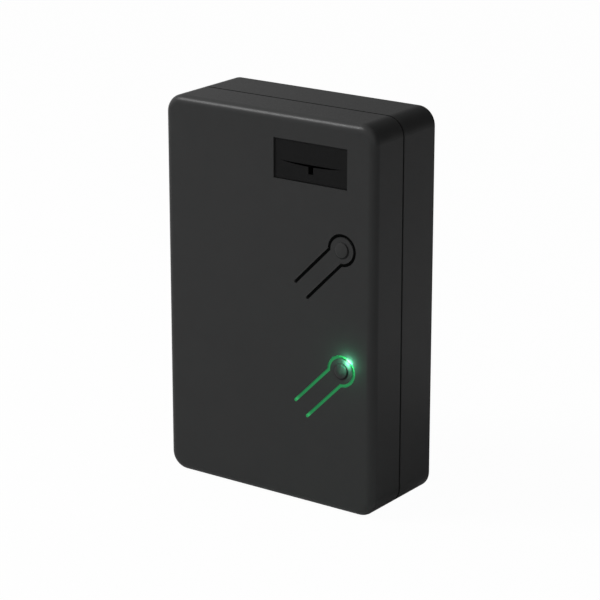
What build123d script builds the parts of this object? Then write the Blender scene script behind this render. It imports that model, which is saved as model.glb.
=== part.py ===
"""Wall box of a two-channel garage door controller, as an assembly of separate pieces.

Everything is modelled in the frame of the wall: x across, y up from the bottom end, z out from
the wall. Only the last step turns it into the frame of the part, where +Z is up, the front faces
-Y and the origin is at the middle of the box's foot. All sizes are in millimetres.
"""

from build123d import *
import math
import os

# Case: two shells that meet at a groove
case_width = 70.0
case_height = 110.0
rear_depth = 15.4
front_depth = 13.6
corner_radius = 5.1
front_edge_radius = 2.3
back_edge_radius = 0.5
inner_edge_radius = 0.6
wall = 2.0
groove_width = 0.45
lip_height = 2.2
lip_end_gap = 0.15
lip_side_gap = 0.1
skirt_thickness = 1.0
rib_thickness = 0.9
rib_height = 1.1
rib_count = 4
rib_button_gap = 11.3

# Screws that hold the shells together, put in from the back
case_screw_inset = 4.8
case_screw_radius = 1.45
case_screw_head_radius = 2.7
case_screw_head_height = 2.0
case_screw_recess = 3.0
case_screw_bite = 7.6
case_screw_tip_room = 1.2
case_boss_radius = 3.0
case_boss_foot_radius = 4.4
case_boss_foot_height = 5.0
screw_hole_gap = 0.25
thread_gap = 0.05
cross_width = 0.7
cross_depth = 1.1

# Keyholes that hang the box on two wall screws
keyhole_from_foot = 27.0
keyhole_from_top = 23.0
keyhole_entry_radius = 4.25
keyhole_neck_width = 4.4
keyhole_neck_length = 7.0
keyhole_guard_gap = 1.2
keyhole_guard_thickness = 1.0
keyhole_guard_height = 3.5

# Cable bush in the bottom wall
bush_rim_gap = 0.875
bush_flange_reach = 1.6
bush_neck_wall = 1.4
bush_flange_thickness = 0.9
bush_inner_flange_thickness = 1.3
bush_sink = 0.1
bush_back_gap = 0.3
bush_pad_thickness = 1.0
bush_pad_width = 16.0
bush_gap = 0.1

# Push buttons: tongues cut out of the front by a keyhole-shaped slot
button_from_side = 10.5
lower_button_share = 0.3727
upper_button_share = 0.6818
tongue_angle = 45.0
tongue_length = 18.6
tongue_width = 4.6
tongue_thickness = 1.4
pad_radius = 3.65
slot_width = 0.9
nub_radius = 2.1
nub_height = 0.35
nub_step = 0.15
post_radius = 1.3
post_set_back = 3.54
post_free_play = 0.18

# Light guides behind the slots, with a thin rim that stands in the slot
guide_thickness = 1.0
guide_reach = 2.8
guide_side_gap = 0.15
guide_rim_width = 0.6
guide_rim_sink = 0.35
guide_tail = 4.2
guide_root_gap = 0.5
guide_stake_set_back = 2.4
guide_stake_radius = 0.75
guide_stake_gap = 0.08
guide_stake_stand = 0.5

# Window insert
window_from_side = 20.9
window_from_top = 12.7
window_width = 24.0
window_height = 11.2
window_gap = 0.2
insert_sink = 0.4
insert_flange = 0.8
insert_flange_thickness = 1.0
insert_frame_thickness = 1.0
insert_frame_height = 2.2
insert_frame_gap = 0.15
bar_half_length = 10.1
bar_tip_drop = 0.4
bar_top_drop = 0.5
bar_bottom_drop = 1.1
stub_width = 1.6
stub_drop = 3.1

# Circuit board
board_thickness = 1.6
board_side_gap = 2.0
board_end_gap = 2.2
board_corner_radius = 1.5
board_hole_inset = 4.5
board_boss_radius = 3.0
board_screw_radius = 1.2
board_screw_tip_gap = 1.9
board_screw_head_radius = 2.6
board_screw_head_height = 1.8
board_screw_head_slope = 0.7

# Relays, the tallest pieces on the board: they set how far the board stands from the front
relay_count = 2
relay_width = 15.5
relay_length = 19.0
relay_height = 15.3
relay_headroom = 1.8
relay_edge_radius = 0.5
relay_side_gap = 1.75
relay_spacing = 1.5
relay_above_terminals = 3.0
relay_mark_radius = 0.7
relay_mark_depth = 0.2
relay_mark_inset = 3.0

# Terminal block
terminal_way_count = 6
terminal_pitch = 5.08
terminal_depth = 8.0
terminal_height = 10.0
terminal_edge_gap = 2.0
terminal_chamfer = 1.6
terminal_well_radius = 2.0
terminal_well_depth = 3.2
terminal_well_set_back = 3.6
terminal_screw_radius = 1.8
terminal_screw_head = 1.4
terminal_screw_shank_radius = 1.1
terminal_screw_slot = 0.6
terminal_screw_slot_depth = 0.7
cage_width = 3.8
cage_height = 4.2
cage_wall = 0.6
cage_depth = 5.0
cage_gap = 0.1
cage_rise = 1.2
cage_sink = 0.4

# Push switches
switch_size = 6.0
switch_base_height = 3.1
switch_plate_thickness = 0.35
switch_plate_inset = 0.2
switch_height = 13.0
switch_travel = 0.25
stem_radius = 1.7
stem_gap = 0.05
stem_seat_depth = 1.6
stem_bottom_room = 0.4
stem_edge = 0.25
rivet_radius = 0.4
rivet_inset = 1.0

# Lamps, stood up to the front on sleeves
lamp_radius = 1.5
lamp_length = 5.3
lamp_flange_radius = 1.9
lamp_flange_height = 1.0
lamp_from_pad = 3.87
lamp_angle = 54.6
lamp_tip_gap = 0.3
lamp_hole_gap = 0.15
sleeve_radius = 2.0

# Supply parts
capacitor_count = 2
capacitor_share = 0.144
capacitor_height = 12.0
capacitor_gap = 1.5
capacitor_spacing = 1.0
capacitor_neck_depth = 0.3
capacitor_neck_low = 1.2
capacitor_neck_length = 0.8
capacitor_rim_width = 0.6
capacitor_rim_depth = 0.25
power_row_gap = 10.5
power_part_gap = 1.5
power_side_gap = 2.0
diode_row_gap = 2.8
fuse_radius = 4.2
fuse_height = 7.7
fuse_edge = 0.5
varistor_radius = 3.6
varistor_thickness = 3.6
varistor_edge = 0.9
varistor_lift = 0.8
varistor_wire_radius = 0.35
varistor_wire_offset = 2.0
bridge_width = 8.4
bridge_length = 6.4
bridge_height = 3.2
bridge_lift = 0.5
bridge_lead_width = 0.8
bridge_lead_thickness = 0.4
bridge_lead_pitch = 5.0
bridge_edge = 0.4
regulator_width = 6.6
regulator_length = 6.0
regulator_height = 2.3
regulator_tab_length = 1.2
regulator_tab_width = 5.3
regulator_tab_thickness = 0.5
regulator_lead_width = 0.8
regulator_lead_length = 2.4
regulator_lead_pitch = 4.6
regulator_gap = 2.0

# Logic
chip_lift = 0.2
lead_thickness = 0.2
controller_width = 7.5
controller_length = 12.8
controller_height = 2.3
controller_lead_count = 10
controller_lead_reach = 1.4
controller_lead_width = 0.42
memory_width = 3.9
memory_length = 4.9
memory_height = 1.5
memory_lead_count = 4
memory_lead_reach = 1.0
memory_side_gap = 1.0
lead_pitch = 1.27
lead_foot = 0.6
pin_mark_radius = 0.4
pin_mark_depth = 0.1
pin_mark_inset = 1.1
crystal_length = 11.0
crystal_width = 4.6
crystal_height = 3.5
crystal_foot_height = 0.4
crystal_foot_margin = 0.3
crystal_edge = 0.4

# Radio
receiver_width_share = 0.24
receiver_coil_gap = 1.5
receiver_top_gap = 8.0
receiver_thickness = 1.0
receiver_lift = 2.5
header_share = 0.62
header_pitch = 2.54
header_width = 2.5
header_inset = 1.6
header_pin_width = 0.64
header_pin_stand = 1.2
shield_width_share = 0.7
shield_length_share = 0.42
shield_height = 3.2
shield_edge_radius = 0.5
shield_wall = 0.3
shield_from_top = 2.0
shield_from_side = 1.2
coil_pitch = 3.0
coil_side_count = 8
coil_radius = 2.7
coil_wire_radius = 0.4
coil_lift = 1.0
coil_wall_gap = 1.2
coil_leg_gap = 0.1
coil_start_gap = 2.0
coil_screw_gap = 2.5
coil_sample_count = 8

# Small board parts
small_length = 2.0
small_width = 1.25
small_height = 0.55
small_cap_length = 0.4
small_cap_thickness = 0.05
resistor_pitch = 3.2
resistor_switch_gap = 2.8
resistor_end_gap = 2.0
chip_capacitor_count = 3
chip_capacitor_pitch = 3.4
chip_capacitor_gap = 2.5
chip_capacitor_side_gap = 0.5
diode_radius = 1.25
diode_length = 4.6
diode_band_length = 0.5
diode_band_thickness = 0.05
transistor_width = 2.9
transistor_length = 1.3
transistor_height = 1.0
transistor_lead_width = 0.4
transistor_lead_reach = 0.5

# How far cuts run past what they cut, and a right angle in degrees
overrun = 1.0
quarter_turn = 90

# Heights above the wall, and limits of the board, worked out from the sizes
case_depth = rear_depth + front_depth
rear_rim = rear_depth - groove_width / 2
bush_flange_radius = (rear_rim - bush_rim_gap - wall - bush_back_gap) / 2
bush_neck_radius = bush_flange_radius - bush_flange_reach
cable_radius = bush_neck_radius - bush_neck_wall
bush_out = wall + bush_back_gap + bush_flange_radius
front_rim = rear_depth + groove_width / 2
lip_top = rear_depth + lip_height
front_inside = case_depth - wall
tongue_inside = case_depth - tongue_thickness
board_top = front_inside - relay_headroom - relay_height
board_back = board_top - board_thickness
board_right = case_width / 2 - wall - board_side_gap
board_low = case_screw_inset + case_boss_radius + board_end_gap
board_high = case_height - board_low
board_width = 2 * board_right
board_length = board_high - board_low
terminal_low = board_low + terminal_edge_gap
relay_low = terminal_low + terminal_depth + relay_above_terminals
relay_high = relay_low + relay_length
relays_right = relay_side_gap - board_right + relay_count * (relay_width + relay_spacing) - relay_spacing
capacitor_radius = capacitor_share * (board_right - relays_right)
power_y = relay_high + power_row_gap
logic_low = power_y + fuse_radius + power_part_gap
button_x = case_width / 2 - button_from_side
window_x = case_width / 2 - window_from_side
window_rise = case_height - window_from_top
keyhole_rises = (keyhole_from_foot, case_height - keyhole_from_top)
stem_top = board_top + switch_height
button_rises = {"lower": case_height * lower_button_share, "upper": case_height * upper_button_share}


def prism(sketch, low, high):
    """A flat outline carried straight out from low to high."""
    return Pos(0, 0, low) * extrude(sketch, amount=high - low)


def column(x, y, radius, low, high):
    """A round pillar, or the tool for a round hole."""
    return prism(Pos(x, y) * Circle(radius), low, high)


def block(x, y, width, length, low, high):
    """A straight-sided block about x and y."""
    return prism(Pos(x, y) * Rectangle(width, length), low, high)


def case_outline(inset):
    """The case's outline, drawn in by inset all round."""
    outline = RectangleRounded(case_width - 2 * inset, case_height - 2 * inset, corner_radius - inset)
    return Pos(0, case_height / 2) * outline


def top_edges(solid):
    return solid.edges().group_by(Axis.Z)[-1]


def bottom_edges(solid):
    return solid.edges().group_by(Axis.Z)[0]


def case_screw_places():
    across = case_width / 2 - case_screw_inset
    rises = (case_screw_inset, case_height - case_screw_inset)
    return [(side * across, rise) for side in (-1, 1) for rise in rises]


def board_screw_places():
    across = board_right - board_hole_inset
    rises = (board_low + board_hole_inset, board_high - board_hole_inset)
    return [(side * across, rise) for side in (-1, 1) for rise in rises]


def together(solids):
    """Several separate solids of one kind, kept apart in one node."""
    return Compound(list(solids))


# Shells

def keyhole_outline(rise, grow):
    """A round entry with a narrow neck above it, grown outwards by grow."""
    entry = Circle(keyhole_entry_radius + grow)
    neck_half = keyhole_neck_width / 2 + grow
    neck = Pos(0, keyhole_neck_length / 2) * Rectangle(2 * neck_half, keyhole_neck_length)
    end = Pos(0, keyhole_neck_length) * Circle(neck_half)
    return Pos(0, rise) * (entry + neck + end)


def lip_ring(outer, inner, low, high):
    ring = prism(case_outline(outer), low, high)
    return ring - prism(case_outline(inner), low - overrun, high + overrun)


def rear_cover():
    shell = prism(case_outline(0), 0, rear_rim)
    shell = fillet(bottom_edges(shell), back_edge_radius)
    shell -= prism(case_outline(wall), wall, rear_rim + overrun)
    shell += lip_ring(skirt_thickness + lip_side_gap, wall, rear_rim - overrun, lip_top)
    for x, y in case_screw_places():
        shell += column(x, y, case_boss_radius, wall / 2, rear_depth)
        shell += column(x, y, case_boss_foot_radius, wall / 2, case_boss_foot_height)
    for x, y in board_screw_places():
        shell += column(x, y, board_boss_radius, wall / 2, board_back)
    guard_top = wall + keyhole_guard_height
    for rise in keyhole_rises:
        guard = keyhole_outline(rise, keyhole_guard_gap + keyhole_guard_thickness)
        shell += prism(guard, wall / 2, guard_top)
        shell -= prism(keyhole_outline(rise, keyhole_guard_gap), wall, guard_top + overrun)
        shell -= prism(keyhole_outline(rise, 0), -overrun, wall + overrun)
    pad_top = bush_out + bush_flange_radius
    pad_middle = wall + bush_pad_thickness / 2
    shell += block(0, pad_middle, bush_pad_width, bush_pad_thickness, wall / 2, pad_top)
    shell -= bush_cylinder(bush_neck_radius + bush_gap, -overrun, wall + 2 * bush_pad_thickness)
    shell -= bush_cylinder(bush_flange_radius + bush_gap, -overrun, bush_sink + bush_flange_thickness)
    for x, y in case_screw_places():
        shell -= column(x, y, case_screw_radius + screw_hole_gap, -overrun, rear_depth + overrun)
        shell -= column(x, y, case_screw_head_radius + screw_hole_gap, -overrun, case_screw_recess)
    for x, y in board_screw_places():
        shell -= column(x, y, board_screw_radius + thread_gap, wall, board_back + overrun)
    return shell


def bush_cylinder(radius, low, high):
    """A round piece that lies along the bottom wall's thickness, from low to high above the foot."""
    place = Plane(origin=(0, low, bush_out), x_dir=(1, 0, 0), z_dir=(0, 1, 0))
    return place * extrude(Circle(radius), amount=high - low)


def cable_grommet():
    neck_low = bush_sink + bush_flange_thickness
    neck_high = wall + bush_pad_thickness
    top = neck_high + bush_inner_flange_thickness
    bush = bush_cylinder(bush_flange_radius, bush_sink, neck_low)
    bush += bush_cylinder(bush_neck_radius, neck_low, neck_high)
    bush += bush_cylinder(bush_flange_radius, neck_high, top)
    return bush - bush_cylinder(cable_radius, -overrun, top + overrun)


def front_cover():
    shell = prism(case_outline(0), front_rim, case_depth)
    shell = fillet(top_edges(shell), front_edge_radius)
    hollow = prism(case_outline(wall), front_rim - overrun, front_inside)
    shell -= fillet(top_edges(hollow), inner_edge_radius)
    rib_left = wall / 2 - case_width / 2
    rib_right = along_tongue(0, tongue_length)[0] - rib_button_gap
    rib_low = front_inside - rib_height
    for index in range(rib_count):
        rise = case_height * (index + 1) / (rib_count + 1)
        middle = (rib_left + rib_right) / 2
        shell += block(middle, rise, rib_right - rib_left, rib_thickness, rib_low, front_inside + overrun)
    frame_grow = insert_flange + insert_frame_gap
    frame_low = front_inside - insert_frame_height
    frame = window_outline(frame_grow + insert_frame_thickness)
    shell += prism(frame, frame_low, front_inside + overrun)
    shell -= prism(window_outline(frame_grow), frame_low - overrun, front_inside)
    for x, y in case_screw_places():
        boss = column(x, y, case_boss_radius, rear_depth, front_inside + overrun)
        shell += boss - prism(window_outline(frame_grow), frame_low - overrun, front_inside)
    shell -= lip_ring(skirt_thickness, wall + lip_side_gap, front_rim - overrun, lip_top + lip_end_gap)
    for rise in button_rises.values():
        shell -= prism(slot_opening(rise), front_inside - overrun, case_depth + overrun)
        x, y = guide_stake_place(rise)
        stake_low = front_inside - guide_thickness - guide_stake_stand
        shell += column(x, y, guide_stake_radius, stake_low, front_inside + overrun)
    shell -= prism(window_outline(0), front_inside - overrun, case_depth + overrun)
    pilot_top = rear_depth + case_screw_bite + case_screw_tip_room
    for x, y in case_screw_places():
        shell -= column(x, y, case_screw_radius + thread_gap, rear_depth - overrun, pilot_top)
    return shell


def window_outline(grow):
    """The window's opening, grown outwards by grow."""
    return Pos(window_x, window_rise) * Rectangle(window_width + 2 * grow, window_height + 2 * grow)


def window_insert():
    """A stepped plate with a thin sagging bar and a short stub cut through it."""
    plate = prism(window_outline(-window_gap), front_inside, case_depth - insert_sink)
    plate += prism(window_outline(insert_flange), front_inside - insert_flange_thickness, front_inside)
    left = (-bar_half_length, -bar_tip_drop)
    right = (bar_half_length, -bar_tip_drop)
    upper = ThreePointArc(left, (0, -bar_top_drop), right)
    lower = ThreePointArc(right, (0, -bar_bottom_drop), left)
    bar = make_face([upper, lower])
    stub_top = (bar_top_drop + bar_bottom_drop) / 2
    stub = Pos(0, -(stub_top + stub_drop) / 2) * Rectangle(stub_width, stub_drop - stub_top)
    low = front_inside - insert_flange_thickness - overrun
    return plate - prism(Pos(window_x, window_rise) * (bar + stub), low, case_depth)


# Push buttons and what lies behind them

def tongue_place(rise):
    """Middle of a button's pad, with the local x axis along its tongue towards the pad."""
    return Pos(button_x, rise) * Rot(0, 0, tongue_angle)


def along_tongue(rise, distance):
    """A point on the tongue's middle line, at a distance back from the middle of the pad."""
    turn = math.radians(tongue_angle)
    return (button_x - distance * math.cos(turn), rise - distance * math.sin(turn))


def tongue_outline(rise, grow, tail=0):
    """Pad and tongue, grown outwards by grow, and carried on past the root by tail."""
    length = tongue_length + tail
    strip = Pos(-length / 2, 0) * Rectangle(length, tongue_width + 2 * grow)
    return tongue_place(rise) * (Circle(pad_radius + grow) + strip)


def slot_opening(rise):
    """What is cut from the front for one button: the tongue, its slot and the slot's round ends."""
    opening = tongue_outline(rise, slot_width)
    side = (tongue_width + slot_width) / 2
    for y in (-side, side):
        opening += tongue_place(rise) * Pos(-tongue_length, y) * Circle(slot_width / 2)
    return opening


def button(rise):
    """Tongue, the nub that the finger finds on its pad, and the post that reaches the switch."""
    crown = nub_height - nub_step
    nub_ball = (nub_radius ** 2 + crown ** 2) / (2 * crown)
    tongue = prism(tongue_outline(rise, 0), tongue_inside, case_depth)
    cap = Pos(0, 0, nub_height - nub_ball) * Sphere(nub_ball)
    cap &= Pos(0, 0, nub_height / 2) * Cylinder(nub_radius, nub_height)
    tongue += Pos(button_x, rise, case_depth) * cap
    x, y = along_tongue(rise, post_set_back)
    return tongue + column(x, y, post_radius, stem_top + post_free_play, tongue_inside)


def guide_stake_place(rise):
    return along_tongue(rise, tongue_length + guide_stake_set_back)


def lamp_place(rise):
    turn = math.radians(lamp_angle)
    return (button_x + lamp_from_pad * math.cos(turn), rise + lamp_from_pad * math.sin(turn))


def light_guide(rise):
    """A flat ring behind the wall, with a thin rim that stands in the slot beside the tongue."""
    inner = tongue_outline(rise, guide_side_gap, guide_root_gap)
    outer = tongue_outline(rise, guide_reach, guide_tail)
    low = front_inside - guide_thickness
    guide = prism(outer, low, front_inside)
    rim = tongue_outline(rise, guide_side_gap + guide_rim_width)
    guide += prism(rim, front_inside, case_depth - guide_rim_sink)
    guide -= prism(inner, low - overrun, case_depth)
    lamp_x, lamp_y = lamp_place(rise)
    guide -= column(lamp_x, lamp_y, lamp_radius + lamp_hole_gap, low - overrun, front_inside)
    x, y = guide_stake_place(rise)
    stake_hole = guide_stake_radius + guide_stake_gap
    return guide - column(x, y, stake_hole, low - overrun, front_inside + overrun)


def lamp_base():
    return front_inside - lamp_tip_gap - lamp_length


def lamp(rise):
    x, y = lamp_place(rise)
    low = lamp_base()
    dome_centre = low + lamp_length - lamp_radius
    bulb = column(x, y, lamp_flange_radius, low, low + lamp_flange_height)
    bulb += column(x, y, lamp_radius, low, dome_centre)
    return bulb + Pos(x, y, dome_centre) * Sphere(lamp_radius)


def lamp_sleeve(rise):
    x, y = lamp_place(rise)
    return column(x, y, sleeve_radius, board_top, lamp_base())


def switch_place(rise):
    return along_tongue(rise, post_set_back)


def stem_low():
    return board_top + switch_base_height + switch_plate_thickness - stem_seat_depth


def tact_switch(rise):
    x, y = switch_place(rise)
    base_top = board_top + switch_base_height
    base = block(x, y, switch_size, switch_size, board_top, base_top)
    room = stem_low() - switch_travel - stem_bottom_room
    return base - column(x, y, stem_radius + stem_gap, room, base_top + overrun)


def switch_plate(rise):
    x, y = switch_place(rise)
    low = board_top + switch_base_height
    high = low + switch_plate_thickness
    size = switch_size - 2 * switch_plate_inset
    plate = block(x, y, size, size, low, high)
    reach = switch_size / 2 - rivet_inset
    rivet_top = high + switch_plate_thickness / 2
    for side in (-1, 1):
        for end in (-1, 1):
            plate += column(x + side * reach, y + end * reach, rivet_radius, low, rivet_top)
    return plate - column(x, y, stem_radius + stem_gap, low - overrun, high + overrun)


def switch_stem(rise):
    x, y = switch_place(rise)
    stem = column(x, y, stem_radius, stem_low(), stem_top)
    return chamfer(top_edges(stem), stem_edge)


# Fasteners

def cross_recess(x, y, low, high, width, span):
    """Tool for a cross recess in a screw's head."""
    return block(x, y, width, span, low, high) + block(x, y, span, width, low, high)


def case_screws():
    screws = []
    head_low = case_screw_recess - case_screw_head_height
    span = 2 * (case_screw_head_radius - cross_width)
    for x, y in case_screw_places():
        screw = column(x, y, case_screw_head_radius, head_low, case_screw_recess)
        screw += column(x, y, case_screw_radius, case_screw_recess, rear_depth + case_screw_bite)
        screw -= cross_recess(x, y, head_low - overrun, head_low + cross_depth, cross_width, span)
        screws.append(screw)
    return together(screws)


def board_screws():
    screws = []
    span = 2 * (board_screw_head_radius - cross_width)
    for x, y in board_screw_places():
        head_top = board_top + board_screw_head_height
        screw = column(x, y, board_screw_head_radius, board_top, head_top)
        screw = chamfer(top_edges(screw), board_screw_head_slope)
        screw += column(x, y, board_screw_radius, wall + board_screw_tip_gap, board_top)
        screw -= cross_recess(x, y, head_top - cross_depth, head_top + overrun, cross_width, span)
        screws.append(screw)
    return together(screws)


def circuit_board():
    middle = (board_low + board_high) / 2
    outline = Pos(0, middle) * RectangleRounded(board_width, board_length, board_corner_radius)
    board = prism(outline, board_back, board_top)
    hole = board_screw_radius + screw_hole_gap
    for x, y in board_screw_places():
        board -= column(x, y, hole, board_back - overrun, board_top + overrun)
    return board


# Terminals and relays

def terminal_xs():
    half = (terminal_way_count - 1) / 2
    return [(index - half) * terminal_pitch for index in range(terminal_way_count)]


def cage_middle():
    return terminal_low + cage_sink + cage_depth / 2


def terminal_block():
    width = terminal_way_count * terminal_pitch
    middle = terminal_low + terminal_depth / 2
    top = board_top + terminal_height
    body = block(0, middle, width, terminal_depth, board_top, top)
    upper = body.edges().filter_by(Axis.X).group_by(Axis.Z)[-1]
    body = chamfer(upper.sort_by(Axis.Y)[0], terminal_chamfer)
    pocket_low = board_top + cage_rise
    pocket_high = pocket_low + cage_height + 2 * cage_gap
    pocket_end = terminal_low + cage_sink + cage_depth + cage_gap
    pocket_middle = (terminal_low - overrun + pocket_end) / 2
    pocket_length = pocket_end - terminal_low + overrun
    for x in terminal_xs():
        body -= block(x, pocket_middle, cage_width + 2 * cage_gap, pocket_length, pocket_low, pocket_high)
        well_low = top - terminal_well_depth
        well_y = terminal_low + terminal_well_set_back
        body -= column(x, well_y, terminal_well_radius, well_low, top + overrun)
        body -= column(x, well_y, terminal_screw_shank_radius + thread_gap, pocket_high - overrun, top)
    return body


def cage_floor():
    return board_top + cage_rise + cage_gap


def terminal_cages():
    cages = []
    low = cage_floor()
    for x in terminal_xs():
        cage = block(x, cage_middle(), cage_width, cage_depth, low, low + cage_height)
        hole = block(x, cage_middle(), cage_width - 2 * cage_wall, cage_depth + overrun,
                     low + cage_wall, low + cage_height - cage_wall)
        shank = column(x, terminal_low + terminal_well_set_back, terminal_screw_shank_radius + thread_gap,
                       low + cage_wall, low + cage_height + overrun)
        cages.append(cage - hole - shank)
    return together(cages)


def terminal_screws():
    screws = []
    head_low = board_top + terminal_height - terminal_well_depth
    head_top = head_low + terminal_screw_head
    shank_low = cage_floor() + cage_height - 2 * cage_wall
    for x in terminal_xs():
        y = terminal_low + terminal_well_set_back
        screw = column(x, y, terminal_screw_radius, head_low, head_top)
        screw += column(x, y, terminal_screw_shank_radius, shank_low, head_low)
        slot_low = head_top - terminal_screw_slot_depth
        screw -= block(x, y, 2 * terminal_screw_radius, terminal_screw_slot, slot_low, head_top + overrun)
        screws.append(screw)
    return together(screws)


def relay_left(index):
    return relay_side_gap - board_right + index * (relay_width + relay_spacing)


def relay(index):
    x = relay_left(index) + relay_width / 2
    y = relay_low + relay_length / 2
    top = board_top + relay_height
    case = block(x, y, relay_width, relay_length, board_top, top)
    case = fillet(case.edges().filter_by(Axis.Z), relay_edge_radius)
    case = fillet(top_edges(case), relay_edge_radius)
    mark_x = relay_left(index) + relay_mark_inset
    mark_y = relay_high - relay_mark_inset
    return case - column(mark_x, mark_y, relay_mark_radius, top - relay_mark_depth, top + overrun)


# Supply

def standing_profile(points):
    """A round piece turned from a half profile of radius and height pairs."""
    return revolve(Plane.XZ * make_face(Polyline(*points, close=True)), Axis.Z)


def smoothing_capacitors():
    neck_high = capacitor_neck_low + capacitor_neck_length
    neck = capacitor_radius - capacitor_neck_depth
    rim = capacitor_radius - capacitor_rim_width
    floor = capacitor_height - capacitor_rim_depth
    can = standing_profile([
        (0, 0),
        (capacitor_radius, 0),
        (capacitor_radius, capacitor_neck_low - capacitor_neck_depth),
        (neck, capacitor_neck_low),
        (neck, neck_high),
        (capacitor_radius, neck_high + capacitor_neck_depth),
        (capacitor_radius, capacitor_height - capacitor_neck_depth),
        (neck, capacitor_height),
        (rim, capacitor_height),
        (rim, floor),
        (0, floor),
    ])
    x = relays_right + capacitor_gap + capacitor_radius
    step = 2 * capacitor_radius + capacitor_spacing
    y = relay_low + capacitor_radius
    return together([Pos(x, y + index * step, board_top) * can for index in range(capacitor_count)])


def voltage_regulator():
    x = board_right - regulator_gap - regulator_width / 2
    y = sum(button_rises.values()) / len(button_rises)
    body = block(x, y, regulator_width, regulator_length, board_top, board_top + regulator_height)
    tab_y = y + (regulator_length + regulator_tab_length) / 2
    body += block(x, tab_y, regulator_tab_width, regulator_tab_length, board_top,
                  board_top + regulator_tab_thickness)
    for side in (-1, 1):
        lead_y = y - (regulator_length + regulator_lead_length) / 2
        lead_x = x + side * regulator_lead_pitch / 2
        body += block(lead_x, lead_y, regulator_lead_width, regulator_lead_length, board_top,
                      board_top + regulator_tab_thickness)
    return body


def fuse_x():
    return power_side_gap + fuse_radius - board_right


def varistor_x():
    return fuse_x() + fuse_radius + power_part_gap + varistor_radius


def bridge_x():
    return varistor_x() + varistor_radius + power_part_gap + bridge_width / 2


def first_driver_x():
    return bridge_x() + bridge_width / 2 + power_part_gap + transistor_width / 2


def fuse():
    body = column(fuse_x(), power_y, fuse_radius, board_top, board_top + fuse_height)
    return chamfer(top_edges(body), fuse_edge)


def varistor():
    """A coated disc that stands on its edge on two short wires."""
    x = varistor_x()
    height = board_top + varistor_lift + varistor_radius
    place = Plane(origin=(x, power_y - varistor_thickness / 2, height), x_dir=(1, 0, 0), z_dir=(0, 1, 0))
    disc = extrude(Circle(varistor_radius), amount=varistor_thickness)
    body = place * chamfer(disc.edges().filter_by(GeomType.CIRCLE), varistor_edge)
    for side in (-1, 1):
        body += column(x + side * varistor_wire_offset, power_y, varistor_wire_radius, board_top, height)
    return body


def bridge_rectifier():
    x = bridge_x()
    low = board_top + bridge_lift
    body = block(x, power_y, bridge_width, bridge_length, low, low + bridge_height)
    body = chamfer(top_edges(body), bridge_edge)
    for side in (-1, 1):
        for end in (-1, 1):
            lead_x = x + side * bridge_lead_pitch / 2
            lead_y = power_y + end * (bridge_length + bridge_lead_thickness) / 2
            body += block(lead_x, lead_y, bridge_lead_width, bridge_lead_thickness, board_top,
                          low + bridge_height / 2)
    return body


# Logic

def chip_body(place, width, length, height):
    x, y = place
    low = board_top + chip_lift
    body = block(x, y, width, length, low, low + height)
    mark_x = x - width / 2 + pin_mark_inset
    mark_y = y + length / 2 - pin_mark_inset
    top = low + height
    return body - column(mark_x, mark_y, pin_mark_radius, top - pin_mark_depth, top + overrun)


def chip_leads(place, width, height, lead_count, reach):
    """Gull-wing leads down both long sides: out of the body, down, and out along the board."""
    x, y = place
    exit_height = chip_lift + height / 2
    bend = reach - lead_foot
    outline = [
        (0, exit_height),
        (bend, exit_height),
        (bend + lead_thickness, lead_thickness),
        (reach, lead_thickness),
        (reach, 0),
        (bend, 0),
        (bend - lead_thickness, exit_height - lead_thickness),
        (0, exit_height - lead_thickness),
    ]
    profile = Plane.XZ * make_face(Polyline(*outline, close=True))
    lead = extrude(profile, amount=controller_lead_width / 2, both=True)
    leads = []
    for index in range(lead_count):
        lead_y = y + (index - (lead_count - 1) / 2) * lead_pitch
        leads.append(Pos(x + width / 2, lead_y, board_top) * lead)
        leads.append(Pos(x - width / 2, lead_y, board_top) * Rot(0, 0, 2 * quarter_turn) * lead)
    return together(leads)


def logic_x():
    """The logic column stands midway between the radio board and the chip resistors."""
    return (receiver_right() + resistor_x() - small_length / 2) / 2


def crystal_y():
    return logic_low + crystal_length / 2


def controller_place():
    return (logic_x(), crystal_y() + (crystal_length + controller_length) / 2 + power_part_gap)


def memory_place():
    """Right of the chip resistors and above the upper row of chip capacitors."""
    row_top = upper_row_y() + small_width / 2
    x = resistor_x() + small_length / 2 + memory_side_gap + memory_lead_reach + memory_width / 2
    return (x, row_top + power_part_gap + memory_length / 2)


def quartz_crystal():
    middle = Pos(logic_x(), crystal_y()) * Rot(0, 0, quarter_turn)
    foot_top = board_top + crystal_foot_height
    can = prism(middle * SlotOverall(crystal_length, crystal_width), foot_top, board_top + crystal_height)
    can = chamfer(top_edges(can), crystal_edge)
    margin = 2 * crystal_foot_margin
    foot = middle * SlotOverall(crystal_length + margin, crystal_width + margin)
    return can + prism(foot, board_top, foot_top)


# Radio

def receiver_low():
    return board_top + receiver_lift


def coil_x():
    return coil_wall_gap + coil_radius + coil_wire_radius - board_right


def receiver_left():
    return coil_x() + coil_radius + coil_wire_radius + receiver_coil_gap


def receiver_right():
    return receiver_left() + receiver_width_share * board_width


def receiver_length():
    return board_high - receiver_top_gap - logic_low


def receiver_board():
    width = receiver_right() - receiver_left()
    x = (receiver_left() + receiver_right()) / 2
    y = logic_low + receiver_length() / 2
    top = receiver_low() + receiver_thickness
    return block(x, y, width, receiver_length(), receiver_low(), top)


def header_x():
    return receiver_right() - header_inset


def header_ys():
    way_count = int(receiver_length() * header_share / header_pitch)
    middle = logic_low + receiver_length() / 2
    half = (way_count - 1) / 2
    return [middle + (index - half) * header_pitch for index in range(way_count)]


def receiver_header():
    """The pin strip that carries the radio board over the main board."""
    ys = header_ys()
    middle = (ys[0] + ys[-1]) / 2
    return block(header_x(), middle, header_width, len(ys) * header_pitch, board_top, receiver_low())


def receiver_pins():
    """Pin ends that stand out of the radio board."""
    low = receiver_low() + receiver_thickness
    return together([block(header_x(), y, header_pin_width, header_pin_width, low, low + header_pin_stand)
                     for y in header_ys()])


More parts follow.
